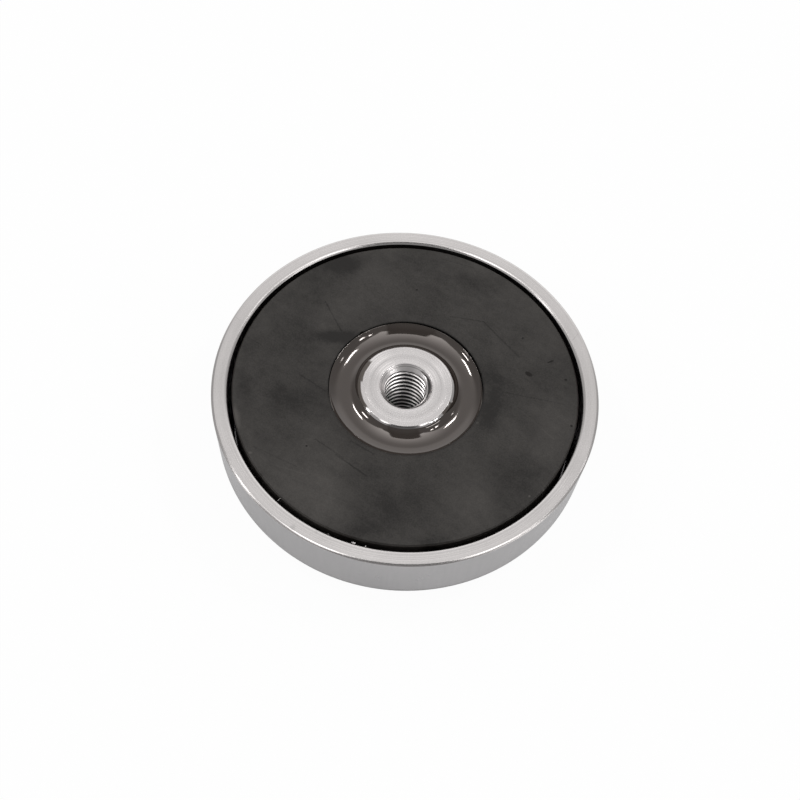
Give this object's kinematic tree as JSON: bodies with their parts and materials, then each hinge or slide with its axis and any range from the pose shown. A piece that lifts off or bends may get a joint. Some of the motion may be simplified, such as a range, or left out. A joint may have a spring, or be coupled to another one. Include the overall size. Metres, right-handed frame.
{
  "type": "pot magnet",
  "caption": "Shallow round pot magnet: ferrite ring in a steel pot, with a threaded steel bush potted in resin at its centre.",
  "frame": {"origin": "centre of the pot's flat back, on the axis of the thread", "axes": "+Z along the axis, from the back to the holding face; X and Y lie in the back face and are interchangeable, because the part is round"},
  "size_m": [0.08, 0.08, 0.018],
  "materials": {
    "pot_steel": "satin",
    "ferrite": "satin",
    "bush_steel": "satin",
    "resin": "gloss"
  },
  "bodies": {
    "root": {"pot": "pot_steel", "ring_magnet": "ferrite", "threaded_bush": "bush_steel", "potting_resin": "resin"}
  },
  "joints": []
}
